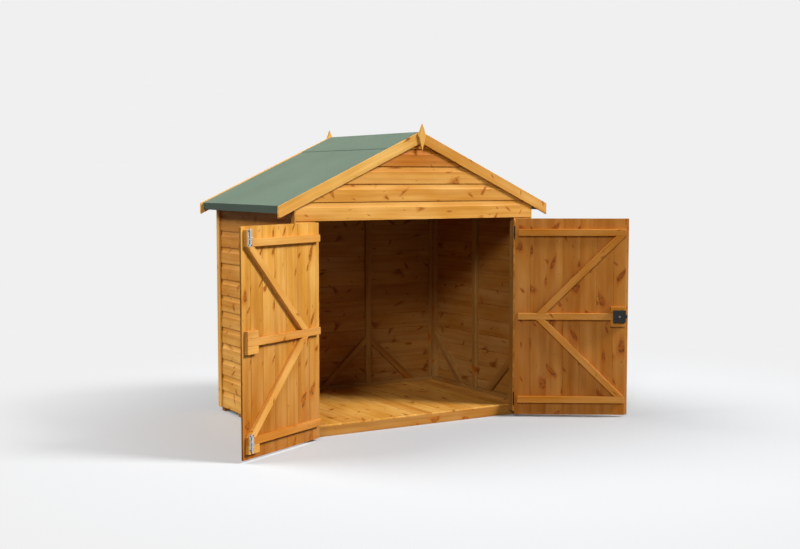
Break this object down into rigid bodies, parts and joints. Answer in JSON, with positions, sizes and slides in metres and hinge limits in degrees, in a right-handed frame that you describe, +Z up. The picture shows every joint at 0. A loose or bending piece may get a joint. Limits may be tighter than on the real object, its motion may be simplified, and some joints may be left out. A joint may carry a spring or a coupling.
{
  "type": "bike shelter",
  "caption": "Timber apex bike shelter with boarded walls and floor, green felt roof and a pair of ledged and braced doors on T-hinges.",
  "frame": {"origin": "on the ground under the middle of the floor", "axes": "+X to the right seen from the front, +Y from the doors to the back wall, +Z up"},
  "size_m": [2.837, 1.7438, 1.9875],
  "materials": {
    "cladding": "dip treated softwood, sawn and planed",
    "framing": "dip treated softwood, sawn",
    "trim": "dip treated softwood, planed",
    "felt": "mineral bitumen felt",
    "zinc": "bright zinc plated",
    "lock": "black japanned",
    "hinges": "black japanned"
  },
  "bodies": {
    "shed": {"floor_bearers": "framing", "floor_deck": "framing", "left_wall": "cladding", "right_wall": "cladding", "back_wall": "cladding", "front_gable": "cladding", "front_panels": "cladding", "side_wall_studs": "framing", "side_wall_rails": "framing", "side_wall_braces": "framing", "back_wall_studs": "framing", "back_wall_rail": "framing", "back_wall_braces": "framing", "front_posts": "framing", "header_rail": "framing", "left_rafters": "framing", "right_rafters": "framing", "left_purlins": "framing", "right_purlins": "framing", "left_roof_boards": "framing", "right_roof_boards": "framing", "left_roof_felt": "felt", "right_roof_felt": "felt", "ridge_felt": "felt", "left_barge_boards": "trim", "right_barge_boards": "trim", "finials": "trim", "corner_strips": "trim", "jamb_hinges": "hinges"},
    "left_door": {"left_door_boards": "cladding", "left_door_ledges": "trim", "left_door_braces": "trim", "left_door_blocks": "trim", "left_door_hinges": "hinges", "bolt_plates": "zinc"},
    "right_door": {"right_door_boards": "cladding", "right_door_ledges": "trim", "right_door_braces": "trim", "lock_block": "trim", "lock_case": "lock", "cover_strip": "trim", "right_door_hinges": "hinges"},
    "top_bolt": {"top_bolt": "zinc"},
    "bottom_bolt": {"bottom_bolt": "zinc"},
    "lock_tongue": {"lock_tongue": "lock"}
  },
  "joints": [
    {"name": "left_door_hinge", "type": "hinge", "parent": "shed", "child": "left_door", "pos_m": [-0.758, -0.6465, 0.695], "axis": [0, 0, -1], "range_deg": [-153, 17]},
    {"name": "right_door_hinge", "type": "hinge", "parent": "shed", "child": "right_door", "pos_m": [0.758, -0.6465, 0.695], "axis": [0, 0, 1], "range_deg": [-146.7, 23.3]},
    {"name": "top_bolt_slide", "type": "slide", "parent": "left_door", "child": "top_bolt", "axis": [0, 0, -1], "range_m": [-0.03, 0]},
    {"name": "bottom_bolt_slide", "type": "slide", "parent": "left_door", "child": "bottom_bolt", "axis": [0, 0, 1], "range_m": [-0.03, 0]},
    {"name": "lock_tongue_slide", "type": "slide", "parent": "right_door", "child": "lock_tongue", "axis": [-0.8358, 0.549, 0], "range_m": [0, 0.012]}
  ]
}
